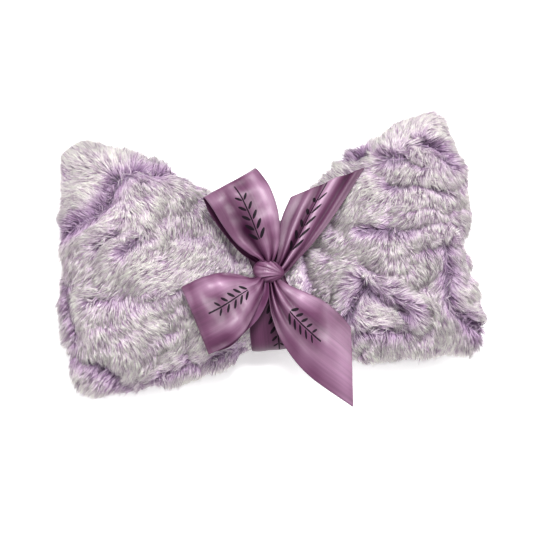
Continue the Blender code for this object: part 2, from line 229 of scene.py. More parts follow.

# Each loop and tail: the points (x, y, z) along its two edges from the knot outwards (and back, for
# a loop). Its pleats are (place across, height in mm, share of the length they last, width), and its
# swells are (place along, place across, length, width, height in mm); their heights also paint
# highlight on crests and shade in hollows. Its print is centred this many mm from the knot. A loop's
# inner side is painted shade, from dark (0) to light (1).
STRIPS = {
    "ribbon_loop_upper": {
        "body": "loop_upper",
        "left": (
            (-3.5, 1.0, 47.5), (-7, 4.6, 49.5), (-12, 7.8, 51), (-18.5, 14.1, 53), (-24.7, 24.4, 54.5),
            (-28.8, 33, 54.5), (-32.6, 39.6, 54), (-33.9, 40.6, 52.3), (-33.2, 38.6, 50.4),
            (-31.2, 32.5, 48.7), (-26.6, 24.2, 47), (-20.4, 14.8, 45.6), (-14.8, 7.9, 45),
            (-8.1, 2.8, 44.6), (-4, 0.5, 44.4),
        ),
        "right": (
            (-0.5, 0.5, 47.5), (2, 3.4, 49.5), (4.6, 8.6, 51.5), (6.3, 15.1, 53.5), (6.6, 28.8, 54.8),
            (3.4, 42.8, 55), (-2.2, 53, 54.3), (-4.2, 54.4, 52.6), (-3, 52.4, 50.8),
            (0.4, 43, 49.2), (2.6, 30, 47.6), (2.2, 16, 46.2), (0.6, 7.5, 45.2), (-0.6, 3, 44.6),
            (-1.2, 0.5, 44.4),
        ),
        "pleats": (
            (0.15, 1.2, 0.35, 0.06), (0.35, -1.8, 0.40, 0.08), (0.60, 1.6, 0.30, 0.07),
            (0.78, -1.3, 0.25, 0.05), (0.90, 1.0, 0.50, 0.06),
        ),
        "swells": (
            (0.55, 0.35, 0.30, 0.16, -1.4), (0.86, 0.12, 0.12, 0.12, 1.2),
            (0.70, 0.85, 0.30, 0.12, 1.3), (0.80, 0.30, 0.10, 0.08, -0.9),
        ),
        "crown": 2.6,
        "print_at": 33,
        "inner": 0.12,
    },
    "ribbon_loop_lower": {
        "body": "loop_lower",
        "left": (
            (-3.5, -4.2, 46.5), (-4.4, -9, 47.2), (-6.2, -15, 48.4), (-9.4, -21.4, 50.2),
            (-13.7, -29.2, 52.2), (-18.9, -36.4, 53.6), (-27.6, -42.2, 54.2), (-36.6, -45.6, 53.8),
            (-38.6, -46.2, 52.2), (-37, -45, 50.4), (-26.8, -42.4, 48.6), (-18.4, -35.6, 47.2),
            (-9.4, -27.4, 46), (-3.4, -17.2, 45), (-2.4, -9, 44.4), (-2.6, -4, 44.2),
        ),
        "right": (
            (-5.5, -2.4, 46.5), (-8.4, -4.8, 48), (-12.4, -5.6, 50.2), (-20.2, -3.2, 53),
            (-29, -2, 54.8), (-39, -3.9, 55), (-47.8, -6.8, 54.2), (-50.2, -7.8, 52.4),
            (-48.4, -8.2, 50.6), (-38.6, -7, 49), (-28.4, -5.8, 47.6), (-19.4, -6.4, 46.4),
            (-11.8, -6.6, 45.4), (-7.4, -4.8, 44.7), (-5, -3, 44.4),
        ),
        "pleats": (
            (0.10, -1.6, 0.35, 0.07), (0.30, 1.2, 0.30, 0.07), (0.50, -1.2, 0.25, 0.06),
            (0.93, -1.8, 0.45, 0.06),
        ),
        "swells": (
            (0.60, 0.82, 0.35, 0.14, 1.6), (0.25, 0.60, 0.15, 0.12, 1.2),
            (0.55, 0.20, 0.25, 0.10, 1.2), (0.80, 0.08, 0.20, 0.08, -1.0),
            (0.90, 0.50, 0.12, 0.30, -0.5),
        ),
        "crown": 1.8,
        "print_at": 35,
        "inner": 0.62,
    },
    "ribbon_tail_upper": {
        "body": "tail_upper",
        "left": (
            (0, -1.5, 43.6), (2.6, 2.6, 43.8), (4, 7.8, 43.8), (5.4, 17, 43.4), (8.1, 27, 42.4),
            (14.2, 38.7, 40.8),
        ),
        "right": (
            (2, -5, 43.4), (6.9, -4.4, 43.7), (15.3, 3.2, 43.8), (26.1, 13.2, 43.2), (40.3, 29.5, 41.6),
            (57.5, 52, 40.4),
        ),
        "pleats": (
            (0.28, 1.0, 2.0, 0.05), (0.42, -2.2, 2.0, 0.07), (0.58, 1.8, 2.5, 0.10),
            (0.78, -1.8, 2.5, 0.07), (0.95, -0.8, 2.0, 0.06),
        ),
        "swells": ((0.10, 0.30, 0.15, 0.30, -1.2),),
        "crown": 1.2,
        "print_at": 27,
    },
    "ribbon_tail_lower": {
        "body": "tail_lower",
        "left": (
            (-3.4, -4.2, 43.6), (-2.6, -9.6, 43.6), (-3, -17.4, 43.8), (-2.3, -28.3, 43.5),
            (2, -42.4, 42.2), (13.6, -60.2, 39), (37.1, -80.6, 34),
        ),
        "right": (
            (1.5, -3.8, 43.8), (5.4, -8.6, 44.4), (10.8, -12.3, 45), (18.8, -16.8, 45),
            (27, -21.8, 44), (35.5, -30.2, 41.8), (40.2, -37.1, 40),
        ),
        "pleats": (
            (0.10, -2.4, 0.30, 0.07), (0.22, 1.6, 0.50, 0.06), (0.36, -2.6, 0.34, 0.07),
            (0.52, 1.2, 0.80, 0.08), (0.66, -1.6, 0.35, 0.06),
        ),
        "swells": (
            (0.28, 0.85, 0.22, 0.16, 1.8), (0.92, 0.40, 0.18, 0.50, 1.4),
            (0.52, 0.50, 0.20, 0.30, -0.8),
        ),
        "crown": 1.6,
        "print_at": 48,
    },
}

# Colours are linear RGB.
FUR_ROOT = (0.33, 0.22, 0.36)
FUR_MIDDLE = (0.62, 0.505, 0.61)
FUR_TIP = (0.925, 0.943, 0.832)
# Satin: painted shade for the pleats' hollows, the satin's mid colour, and a painted highlight for
# crests.
SATIN_PAINTED_SHADE = (0.022, 0.004, 0.016)
SATIN_MAIN = (0.118, 0.037, 0.089)
SATIN_PAINTED_HIGHLIGHT = (0.345, 0.184, 0.297)
SATIN_STREAK = (0.62, 0.60, 0.62)
SATIN_EDGE = (0.10, 0.04, 0.085)
REVERSE_SHADE = (0.88, 0.80, 0.88)
PRINT_INK = (0.010, 0.006, 0.010)

# Satin: streaks per mm along and across, the woven edge and the weft in mm, and shares for the rest.
BROAD_STREAKS = (0.015, 0.5)
FINE_STREAKS = (0.04, 3.0)
EDGE_WIDTH = 0.9
EDGE_STRENGTH = 0.4
PRINT_DULLNESS = 0.9
WEFT_PITCH = 0.45
FACE_GLOSS, REVERSE_GLOSS = 0.7, 0.1
FACE_ROUGHNESS, REVERSE_ROUGHNESS = 0.32, 0.5

# Printed sprig, in mm along and across the ribbon.
SPRIG_PITCH = 70
SPRIG_LENGTH = 31
STEM_HALF = 0.45
LEAF_PAIRS = 5
LEAF_STEP = 5.3
LEAF_OFFSET = 3.8
LEAF_SIZE = (3.6, 1.15)
LEAF_SHRINK = 0.10
LEAF_SLOPE = math.radians(48)

# Camera: looking at the middle of the pillow, tilted off the vertical and rolled.
CAMERA_ELEVATION = math.radians(80)
CAMERA_ROLL = math.radians(5.6)
CAMERA_DISTANCE = 1.2
FRAME_WIDTH = 298.6 * MM
FRAME_SHIFT = Vector((2.0, 7.6)) * MM
LOOK_AT = Vector((0, 12, 22)) * MM

# Light: name, place in metres, width in metres and power in watts.
WORLD_LIGHT = 0.5
BACKDROP_LIGHT = 1.0
FLOOR_GLOW = 0.45
FLOOR_HALF = 3.0
LIGHTS = (
    ("key", (0.12, 0.35, 1.25), 0.35, 19.0),
    ("left", (-0.9, -0.1, 0.7), 0.6, 5.5),
    ("right", (0.9, 0.1, 0.8), 0.6, 8.0),
)


# ---- mesh helpers


def new_object(name, mesh):
    obj = bpy.data.objects.new(name, mesh)
    bpy.context.scene.collection.objects.link(obj)
    return obj


def baked(obj):
    """Replaces an object's mesh with what its modifiers make of it."""
    graph = bpy.context.evaluated_depsgraph_get()
    graph.update()
    mesh = bpy.data.meshes.new_from_object(obj.evaluated_get(graph))
    obj.modifiers.clear()
    obj.data = mesh
    mesh.name = obj.name
    return obj


def finished(bm, name):
    """Turns a bmesh into a new mesh."""
    mesh = bpy.data.meshes.new(name)
    bm.to_mesh(mesh)
    bm.free()
    return mesh


def read_points(mesh, field="co"):
    flat = np.empty(len(mesh.vertices) * 3)
    mesh.vertices.foreach_get(field, flat)
    return flat.reshape(-1, 3)


def read_normals(mesh):
    return read_points(mesh, "normal")


def write_points(mesh, points):
    mesh.vertices.foreach_set("co", points.ravel())
    mesh.update()


def unit(vectors):
    return vectors / np.maximum(np.linalg.norm(vectors, axis=-1, keepdims=True), 1e-9)


def smoothstep(value, low, high):
    share = np.clip((value - low) / (high - low), 0, 1)
    return share * share * (3 - 2 * share)


def waves(points, wavelength, seed, count=9):
    """Smooth noise of about -1 to 1: a sum of plane waves that run in random directions."""
    rng = np.random.default_rng(seed)
    total = np.zeros(len(points))
    for _ in range(count):
        heading = unit(rng.normal(size=3))
        length = wavelength * rng.uniform(0.7, 1.4)
        total += np.cos(points @ heading * math.tau / length + rng.uniform(0, math.tau))
    return total / math.sqrt(count)


def line_gap(points, line):
    """Distance in plan from each point to a line of (x, y) mm, and the direction away from it."""
    best = np.full(len(points), np.inf)
    away = np.zeros((len(points), 2))
    for start, end in zip(line, line[1:]):
        a = np.array(start) * MM
        b = np.array(end) * MM
        along = b - a
        share = np.clip(((points[:, :2] - a) @ along) / (along @ along), 0, 1)
        offset = points[:, :2] - (a + share[:, None] * along)
        gap = np.linalg.norm(offset, axis=1)
        nearer = gap < best
        best[nearer] = gap[nearer]
        away[nearer] = offset[nearer]
    return best, unit(away)


def spline(points, steps):
    """Evenly spaced points on a Catmull-Rom curve through the given ones."""
    given = np.array(points, float) * MM
    padded = np.vstack((2 * given[0] - given[1], given, 2 * given[-1] - given[-2]))
    fine = []
    for i in range(len(given) - 1):
        p0, p1, p2, p3 = padded[i:i + 4]
        for t in np.linspace(0, 1, STEPS_PER_POINT, endpoint=False):
            fine.append(
                (2 * p1 + (p2 - p0) * t + (2 * p0 - 5 * p1 + 4 * p2 - p3) * t ** 2
                 + (3 * p1 - p0 - 3 * p2 + p3) * t ** 3) / 2
            )
    fine.append(given[-1])
    fine = np.array(fine)
    run = np.concatenate(([0], np.cumsum(np.linalg.norm(np.diff(fine, axis=0), axis=1))))
    want = np.linspace(0, run[-1], steps)
    return np.stack([np.interp(want, run, fine[:, k]) for k in range(3)], axis=1), run[-1]


# ---- materials


class Shader:
    """A Principled material, with short calls for the nodes that feed it."""

    def __init__(self, name, roughness, sheen=0.0):
        self.made = bpy.data.materials.new(name)
        self.made.use_nodes = True
        self.tree = self.made.node_tree
        self.main = self.tree.nodes["Principled BSDF"]
        self.feed("Roughness", roughness)
        self.feed("Sheen Weight", sheen)

    def put(self, socket, value):
        """Feeds a socket with another node's output, or sets it to a value."""
        if isinstance(value, bpy.types.NodeSocket):
            self.tree.links.new(value, socket)
        else:
            socket.default_value = value

    def maths(self, operation, a, b=0.0):
        node = self.tree.nodes.new("ShaderNodeMath")
        node.operation = operation
        self.put(node.inputs[0], a)
        self.put(node.inputs[1], b)
        return node.outputs[0]

    def total(self, a, share_of_a, b, share_of_b):
        """A weighted sum of two values."""
        first = self.maths("MULTIPLY", a, share_of_a)
        return self.maths("ADD", first, self.maths("MULTIPLY", b, share_of_b))

    def uv(self, layer):
        """The two coordinates of a UV layer."""
        node = self.tree.nodes.new("ShaderNodeUVMap")
        node.uv_map = layer
        split = self.tree.nodes.new("ShaderNodeSeparateXYZ")
        self.tree.links.new(node.outputs["UV"], split.inputs[0])
        return split.outputs[0], split.outputs[1]

    def place(self, x, y, z=0.0):
        node = self.tree.nodes.new("ShaderNodeCombineXYZ")
        for socket, value in zip(node.inputs, (x, y, z)):
            self.put(socket, value)
        return node.outputs[0]

    def here(self):
        return self.tree.nodes.new("ShaderNodeTexCoord").outputs["Object"]

    def noise(self, where, scale, detail=3.0):
        node = self.tree.nodes.new("ShaderNodeTexNoise")
        self.put(node.inputs["Vector"], where)
        node.inputs["Scale"].default_value = scale
        node.inputs["Detail"].default_value = detail
        return node.outputs["Fac"]

    def cells(self, where, scale):
        node = self.tree.nodes.new("ShaderNodeTexVoronoi")
        self.put(node.inputs["Vector"], where)
        node.inputs["Scale"].default_value = scale
        return node.outputs["Distance"]

    def ramp(self, value, stops):
        """A colour ramp of (position, colour)."""
        node = self.tree.nodes.new("ShaderNodeValToRGB")
        self.put(node.inputs[0], value)
        elements = node.color_ramp.elements
        while len(elements) < len(stops):
            elements.new(0.5)
        for element, (position, colour) in zip(elements, stops):
            element.position = position
            element.color = (*colour, 1)
        return node.outputs[0]

    def mix(self, share, a, b, how="MIX"):
        node = self.tree.nodes.new("ShaderNodeMix")
        node.data_type = "RGBA"
        node.blend_type = how
        self.put(node.inputs[0], share)
        self.put(node.inputs[6], a if isinstance(a, bpy.types.NodeSocket) else (*a, 1))
        self.put(node.inputs[7], b if isinstance(b, bpy.types.NodeSocket) else (*b, 1))
        return node.outputs[2]

    def feed(self, name, value):
        """Feeds one of the material's own inputs, or sets it."""
        self.put(self.main.inputs[name], value)

    def bump(self, height, strength, distance):
        node = self.tree.nodes.new("ShaderNodeBump")
        self.put(node.inputs["Height"], height)
        node.inputs["Strength"].default_value = strength
        node.inputs["Distance"].default_value = distance
        self.tree.links.new(node.outputs["Normal"], self.main.inputs["Normal"])


def fur_material():
    """Frosted fur: lavender at the root, ivory at the tip, some strands duller, some in painted shade.

    The colour depends only on the strand's own UV, whose V runs from root to tip.
    """
    shader = Shader("frosted_fur", roughness=0.75, sheen=0.15)
    shade, along = shader.uv("OFBake")
    length = shader.ramp(along, (
        (0.0, FUR_ROOT), (0.38, FUR_MIDDLE), (0.72, FUR_TIP), (1.0, FUR_TIP),
    ))
    tint = shader.ramp(shade, (
        (0.0, (1.0, 1.0, 1.0)), (0.38, (0.94, 0.89, 0.95)), (0.58, (0.77, 0.65, 0.80)),
        (0.80, (0.43, 0.30, 0.46)), (1.0, (0.13, 0.08, 0.14)),
    ))
    shader.feed("Base Color", shader.mix(1.0, length, tint, "MULTIPLY"))
    return shader.made


def backing_material():
    """The knitted backing and dense underfur that shows in partings."""
    shader = Shader("underfur", roughness=0.95, sheen=0.3)
    where = shader.here()
    broad = shader.noise(where, 60)
    fine = shader.noise(where, 900, 2.0)
    tone = shader.total(broad, 0.6, fine, 0.4)
    shader.feed("Base Color", shader.ramp(tone, ((0.3, (0.22, 0.13, 0.24)), (0.7, (0.42, 0.31, 0.44)))))
    shader.bump(fine, 0.6, 0.6 * MM)
    return shader.made


def cotton_material():
    """Plain-woven cotton of the insert."""
    shader = Shader("insert_cotton", roughness=0.9, sheen=0.2)
    where = shader.here()
    yarn = shader.cells(where, 1400)
    shader.feed("Base Color", shader.mix(yarn, (0.74, 0.71, 0.64), (0.86, 0.84, 0.78)))
    shader.bump(yarn, 0.4, 0.2 * MM)
    return shader.made


def seed_material():
    """Flax seed and lavender buds pressed together."""
    shader = Shader("seed_fill", roughness=0.55)
    where = shader.here()
    grain = shader.cells(where, 380)
    kind = shader.noise(where, 240, 1.0)
    brown = shader.ramp(kind, (
        (0.35, (0.16, 0.075, 0.03)), (0.55, (0.28, 0.15, 0.07)), (0.7, (0.20, 0.15, 0.30)),
    ))
    shader.feed("Base Color", brown)
    shader.bump(grain, 1.0, 1.2 * MM)
    return shader.made


def tape_material():
    """Hook and loop tape: a grid of small tufts."""
    shader = Shader("closure_nylon", roughness=0.7)
    tufts = shader.cells(shader.here(), 900)
    shader.feed("Base Color", shader.mix(tufts, (0.50, 0.44, 0.54), (0.78, 0.74, 0.80)))
    shader.bump(tufts, 0.9, 0.5 * MM)
    return shader.made


def leaf(shader, x, y, centre, slope, length, width):
    """1 inside an ellipse that leans by slope, else 0. All in mm."""
    dx = shader.maths("SUBTRACT", x, centre[0])
    dy = shader.maths("SUBTRACT", y, centre[1])
    cosine, sine = math.cos(slope), math.sin(slope)
    along = shader.total(dx, cosine / length, dy, sine / length)
    over = shader.total(dy, cosine / width, dx, -sine / width)
    square = shader.maths("ADD", shader.maths("POWER", along, 2), shader.maths("POWER", over, 2))
    return shader.maths("LESS_THAN", square, 1.0)


def sprig(shader, u, v):
    """A plain sprig, repeated along the ribbon's middle: a stem with pairs of leaves."""
    middle = RIBBON_WIDTH / MM / 2
    x = shader.maths("FLOORED_MODULO", u, SPRIG_PITCH)
    off_middle = shader.maths("ABSOLUTE", shader.maths("SUBTRACT", v, middle))
    off_centre = shader.maths("ABSOLUTE", shader.maths("SUBTRACT", x, SPRIG_PITCH / 2))
    drawn = shader.maths(
        "MULTIPLY", shader.maths("LESS_THAN", off_middle, STEM_HALF),
        shader.maths("LESS_THAN", off_centre, SPRIG_LENGTH / 2),
    )
    first = (SPRIG_PITCH - SPRIG_LENGTH + LEAF_STEP) / 2
    for k in range(LEAF_PAIRS):
        shrink = 1 - LEAF_SHRINK * k
        length, width = (size * shrink for size in LEAF_SIZE)
        for way in (-1, 1):
            centre = (first + LEAF_STEP * k, middle + way * LEAF_OFFSET * shrink)
            grown = leaf(shader, x, v, centre, way * LEAF_SLOPE, length, width)
            drawn = shader.maths("MAXIMUM", drawn, grown)
    return drawn


def streaks(shader, u, v, scales):
    """Noise drawn out along the ribbon."""
    along = shader.maths("MULTIPLY", u, scales[0])
    across = shader.maths("MULTIPLY", v, scales[1])
    return shader.noise(shader.place(along, across), 1.0, 2.0)


def satin_material(name, reverse):
    """Satin: fine lines along the ribbon and a woven edge; a printed sprig on its face only.

    Its colour carries painted shade in the hollows of its pleats and a painted highlight on their
    crests, from a UV layer of painted tone that also dims its gloss in the hollows.
    """
    shader = Shader(name, roughness=FACE_ROUGHNESS)
    u, v = shader.uv("weave")
    relief, _ = shader.uv("relief")
    broad = streaks(shader, u, v, BROAD_STREAKS)
    fine = streaks(shader, u, v, FINE_STREAKS)
    # Painted shade in the pleats' hollows (0) up to a painted highlight on their crests (1).
    cloth = shader.ramp(relief, ((0.0, SATIN_PAINTED_SHADE), (0.5, SATIN_MAIN), (1.0, SATIN_PAINTED_HIGHLIGHT)))
    streaked = shader.ramp(shader.total(broad, 0.6, fine, 0.4), ((0.32, SATIN_STREAK), (0.68, (1, 1, 1))))
    cloth = shader.mix(1.0, cloth, streaked, "MULTIPLY")
    from_edge = shader.maths("MINIMUM", v, shader.maths("SUBTRACT", RIBBON_WIDTH / MM, v))
    edge = shader.maths("MULTIPLY", shader.maths("LESS_THAN", from_edge, EDGE_WIDTH), EDGE_STRENGTH)
    cloth = shader.mix(edge, cloth, SATIN_EDGE)
    # Painted shade on the reflection too: the gloss falls off in the hollows.
    gloss = shader.maths("MULTIPLY", relief, REVERSE_GLOSS if reverse else FACE_GLOSS)
    matt = REVERSE_ROUGHNESS if reverse else FACE_ROUGHNESS
    if reverse:
        cloth = shader.mix(1.0, cloth, REVERSE_SHADE, "MULTIPLY")
    else:
        ink = sprig(shader, u, v)
        cloth = shader.mix(ink, cloth, PRINT_INK)
        bare = shader.maths("SUBTRACT", 1.0, shader.maths("MULTIPLY", ink, PRINT_DULLNESS))
        gloss = shader.maths("MULTIPLY", gloss, bare)
    shader.feed("Base Color", cloth)
    shader.feed("Specular IOR Level", gloss)
    shader.feed("Roughness", shader.maths("ADD", matt, shader.maths("MULTIPLY", fine, 0.16)))
    weft = shader.maths("SINE", shader.maths("MULTIPLY", v, math.tau / WEFT_PITCH))
    shader.bump(shader.total(weft, 0.5, fine, 1.0), 0.2, 0.1 * MM)
    return shader.made


# ---- skin


def keep_largest(mesh):
    """Deletes every loose part of a mesh but the one with the most corners."""
    bm = bmesh.new()
    bm.from_mesh(mesh)
    todo = set(bm.verts)
    best = set()
    while todo:
        found = {todo.pop()}
        edge = list(found)
        while edge:
            vert = edge.pop()
            for link in vert.link_edges:
                other = link.other_vert(vert)
                if other in todo:
                    todo.discard(other)
                    found.add(other)
                    edge.append(other)
        if len(found) > len(best):
            best = found
    bmesh.ops.delete(bm, geom=[v for v in bm.verts if v not in best], context="VERTS")
    bm.to_mesh(mesh)
    bm.free()


def relax(mesh, passes):
    """Laplacian smoothing."""
    edges = np.empty(len(mesh.edges) * 2, int)
    mesh.edges.foreach_get("vertices", edges)
    a, b = edges.reshape(-1, 2).T
    points = read_points(mesh)
    count = np.bincount(a, minlength=len(points)) + np.bincount(b, minlength=len(points))
    for _ in range(passes):
        total = np.zeros_like(points)
        for k in range(3):
            total[:, k] += np.bincount(a, points[b, k], len(points))
            total[:, k] += np.bincount(b, points[a, k], len(points))
        points = (points + total / count[:, None]) / 2
    write_points(mesh, points)


def remeshed(obj):
    """Replaces an object's mesh with an even one round its largest part."""
    remesh = obj.modifiers.new("remesh", "REMESH")
    remesh.mode = "VOXEL"
    remesh.voxel_size = VOXEL
    baked(obj)
    keep_largest(obj.data)
    return obj


def fused_cover():
    """The frame's covers and all inside them as one closed, evenly meshed body."""
    bm = bmesh.new()
    for name in COVER_NODES + INNER_NODES + TAPE_NODES:
        bm.from_mesh(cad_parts[name].data)
    return remeshed(new_object("fused_cover", finished(bm, "fused_cover")))


def on_lobe(points):
    """0 at the waist, 1 out on the lobes."""
    return smoothstep(np.abs(points[:, 0]), WAIST_END_X, LOBE_START_X)


def sink(fused):
    """Moves the surface in from the tips of the fur to the backing that it grows from."""
    relax(fused.data, 2)
    points = read_points(fused.data)
    pile = PILE_AT_WAIST + (PILE_ON_LOBE - PILE_AT_WAIST) * on_lobe(points)
    write_points(fused.data, points - read_normals(fused.data) * pile[:, None])
    relax(fused.data, SMOOTH_PASSES)


def swell(fused):
    """Swells the skin under pressure from its fill, held at the waist by the ribbon."""
    before = read_points(fused.data)
    held = fused.vertex_groups.new(name="held")
    for index in np.flatnonzero(np.abs(before[:, 0]) < WAIST_END_X + 2 * MM):
        held.add([int(index)], 1.0, "REPLACE")
    cloth = fused.modifiers.new("cloth", "CLOTH")
    settings = cloth.settings
    settings.vertex_group_mass = "held"
    settings.use_pressure = True
    settings.uniform_pressure_force = SWELL_PRESSURE
    settings.shrink_min = SWELL_SLACK
    settings.effector_weights.gravity = 0
    scene = bpy.context.scene
    for step in range(1, SWELL_FRAMES + 1):
        scene.frame_set(step)
    baked(fused)
    scene.frame_set(1)
    move = read_points(fused.data) - before
    reach = np.linalg.norm(move, axis=1, keepdims=True)
    write_points(fused.data, before + move * np.minimum(1, SWELL_CAP / np.maximum(reach, 1e-9)))
    relax(fused.data, 1)


def fold(points, normals):
    """How far each point of the skin moves along its normal for the lumps and folds."""
    out = np.zeros(len(points))
    for wavelength, height in LUMPS:
        out += waves(points, wavelength * MM, SEED + wavelength) * height * MM
    upward = smoothstep(normals[:, 2], 0.0, 0.5)
    raised, shoulder_at, shoulder_width = SHOULDER
    for line, depth, width in FOLDS:
        gap, _ = line_gap(points, line)
        near = gap / (width * MM)
        shoulder = np.exp(-((near - shoulder_at) / shoulder_width) ** 2)
        valley = np.exp(-near ** 2) - raised * shoulder
        out -= depth * MM * valley * upward
    for x, y, radius, depth in DENTS:
        gap = np.hypot(points[:, 0] - x * MM, points[:, 1] - y * MM)
        out -= depth * MM * np.exp(-(gap / (radius * MM)) ** 2)
    return out * on_lobe(points)


def clear_of_tapes(points):
    """Keeps the skin's end outside the closure's tapes, which lie just inside it."""
    corners = np.array([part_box(name) for name in TAPE_NODES])
    low = corners.min(axis=(0, 1)) - TAPE_CLEARANCE
    high = corners.max(axis=(0, 1)) + TAPE_CLEARANCE
    beside = (points[:, 0] > low[0]) & ((points > low) & (points < high))[:, 1:].all(axis=1)
    points[beside, 0] = np.maximum(points[beside, 0], high[0])


def shaped_skin():
    """The whole skin: sunk, swollen, subdivided, lumpy and folded, and flat where it rests."""
    fused = fused_cover()
    sink(fused)
    swell(fused)
    subdivide = fused.modifiers.new("subdivide", "SUBSURF")
    subdivide.levels = 1
    baked(fused)
    points = read_points(fused.data)
    normals = read_normals(fused.data)
    points = points + normals * fold(points, normals)[:, None]
    points[:, 2] = np.maximum(points[:, 2], SKIN_REST_HEIGHT)
    clear_of_tapes(points)
    write_points(fused.data, points)
    fused.data.shade_smooth()
    return fused


def halved(whole, name, side, cut_at=0):
    """The part of a closed mesh beyond this far to one side, closed again at the cut."""
    bm = bmesh.new()
    bm.from_mesh(whole.data)
    cut = bmesh.ops.bisect_plane(
        bm, geom=bm.verts[:] + bm.edges[:] + bm.faces[:],
        plane_co=(side * cut_at, 0, 0), plane_no=(-side, 0, 0), clear_outer=True,
    )
    rim = [e for e in cut["geom_cut"] if isinstance(e, bmesh.types.BMEdge)]
    bmesh.ops.holes_fill(bm, edges=rim, sides=0)
    bmesh.ops.recalc_face_normals(bm, faces=bm.faces)
    mesh = finished(bm, name)
    mesh.shade_smooth()
    return new_object(name, mesh)


def inner_body(whole, name, inset):
    """A coarser body that lies this far inside the skin."""
    obj = new_object(name, whole.data.copy())
    points = read_points(obj.data)
    write_points(obj.data, points - read_normals(obj.data) * inset)
    relax(remeshed(obj).data, 1)
    return obj


def hang(obj):
    """Moves a piece's placement into its mesh."""
    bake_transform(obj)


def build_halves(body, name, made_of, nodes, at_waist=(), cut_at=0):
    """Both halves of a body, in place of the frame's nodes. The left half has the waist's nodes too."""
    for side, label in SIDES:
        half = halved(body, f"{name}_{label}", side, cut_at)
        half.data.materials.append(made_of)
        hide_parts(*(f"{node}_{label}" for node in nodes))
        if side < 0:
            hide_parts(*at_waist)
        hang(half)


def build_skin(whole):
    """Both halves of the cover's backing, in place of the frame's plain covers."""
    build_halves(
        whole, "cover_backing", backing_material(),
        nodes=("cover_front", "cover_back"), at_waist=("cover_waist",),
    )


def build_inside(whole):
    """The cotton insert and its fill, following the skin's own shape."""
    insert = inner_body(whole, "insert", INSERT_INSET)
    build_halves(
        insert, "insert_body", cotton_material(),
        nodes=("insert_front", "insert_back"), at_waist=("insert_waist",),
    )
    bpy.data.objects.remove(insert)
    fill = inner_body(whole, "seed_fill", FILL_INSET)
    build_halves(
        fill, "seed_fill_body", seed_material(), nodes=("seed_fill",), cut_at=FILL_START_X,
    )
    bpy.data.objects.remove(fill)


# ---- fur


def drift(points, wavelength, most, seed):
    """A slow change over the skin, of about this much either way. The wavelength is in mm."""
    return most * waves(points, wavelength * MM, seed)


def combed(points, normals):
    """The way the fur lies at each point: a unit vector along the skin."""
    lie = np.zeros((len(points), 2))
    for x, y, heading in COMB:
        angle = math.radians(heading)
        gap = (points[:, 0] - x * MM) ** 2 + (points[:, 1] - y * MM) ** 2
        pull = 1 / (gap + COMB_REACH ** 2) ** 2
        lie += pull[:, None] * np.array((math.cos(angle), math.sin(angle)))
    lie = unit(lie)
    upward = smoothstep(normals[:, 2], -0.1, 0.5)
    for line, depth, _ in FOLDS:
        if depth < 0:
            continue
        gap, away = line_gap(points, line)
        strength = PARTING_PULL * min(1, (0.5 + depth) / FULL_PARTING)
        pull = strength * np.exp(-(gap / PARTING_REACH) ** 2) * upward
        lie += away * pull[:, None]
    turn = sum(drift(points, *wander, SEED + 1 + k) for k, wander in enumerate(WANDER))
    under = normals[:, 2] < -0.2
    turn[under] = -math.pi / 2 + drift(points[under], *WANDER_UNDERNEATH, SEED + 3)
    lie[under] = (1, 0)
    turned = np.zeros((len(points), 3))
    turned[:, 0] = lie[:, 0] * np.cos(turn) - lie[:, 1] * np.sin(turn)
    turned[:, 1] = lie[:, 0] * np.sin(turn) + lie[:, 1] * np.cos(turn)
    turned = unit(turned)
    turned[:, 2] = -SIDE_DROOP * (1 - np.abs(normals[:, 2])) ** 2
    turned -= normals * (turned * normals).sum(axis=1, keepdims=True)
    return unit(turned)


def parted(points, reach):
    """How far the fur is parted: 1 on a deep fold's line, 0 beyond its reach from all of them."""
    most = np.zeros(len(points))
    for line, depth, _ in FOLDS:
        gap, _ = line_gap(points, line)
        strength = min(1, max(0, depth) / FULL_PARTING)
        most = np.maximum(most, strength * np.exp(-(gap / reach) ** 2))
    return most


def strand_density(centres, normals):
    """How thickly fur is planted at each place: less underneath, and none deep under the band."""
    density = np.where(normals[:, 2] < -0.35, UNDERSIDE_DENSITY, 1.0)
    return np.where(np.abs(centres[:, 0]) < band_half(centres) - PLANTED_UNDER_BAND, 0, density)


def scatter(mesh, count, rng):
    """Random roots on a mesh, with the skin's normal at each."""
    mesh.calc_loop_triangles()
    corners = np.empty(len(mesh.loop_triangles) * 3, int)
    mesh.loop_triangles.foreach_get("vertices", corners)
    corners = corners.reshape(-1, 3)
    points = read_points(mesh)
    normals = read_normals(mesh)
    a, b, c = (points[corners[:, k]] for k in range(3))
    area = np.linalg.norm(np.cross(b - a, c - a), axis=1)
    weight = area * strand_density((a + b + c) / 3, normals[corners[:, 0]])
    chosen = rng.choice(len(corners), size=count, p=weight / weight.sum())
    r1 = np.sqrt(rng.random(count))[:, None]
    r2 = rng.random(count)[:, None]
    shares = (1 - r1, r1 * (1 - r2), r1 * r2)
    roots = sum(share * points[corners[chosen, k]] for k, share in enumerate(shares))
    up = unit(sum(share * normals[corners[chosen, k]] for k, share in enumerate(shares)))
    return roots, up


def grow(roots, up, rng):
    """Middle and tip of each strand, which strays a little from its neighbours' way."""
    count = len(roots)
    lie = combed(roots, up)
    across = np.cross(up, lie)
    turn = rng.normal(0, STRAY, count)[:, None]
    lie = unit(lie * np.cos(turn) + across * np.sin(turn))
    free = on_lobe(roots)
    lift = LIFT + rng.normal(0, STRAY / 2, count) + drift(roots, *LIFT_DRIFT, SEED + 4)
    lift *= TIED_LIFT + (1 - TIED_LIFT) * free
    longer = rng.normal(0, LENGTH_SPREAD, count) + drift(roots, *LENGTH_DRIFT, SEED + 5)
    length = STRAND_LENGTH * (1 + longer)
    length *= TIED_LENGTH + (1 - TIED_LENGTH) * free
    length = length[:, None]
    first = lie * np.cos(lift)[:, None] + up * np.sin(lift)[:, None]
    bent = lift - DROOP
    second = lie * np.cos(bent)[:, None] + up * np.sin(bent)[:, None]
    middle = roots + first * length * 0.5
    return middle, middle + second * length * 0.5


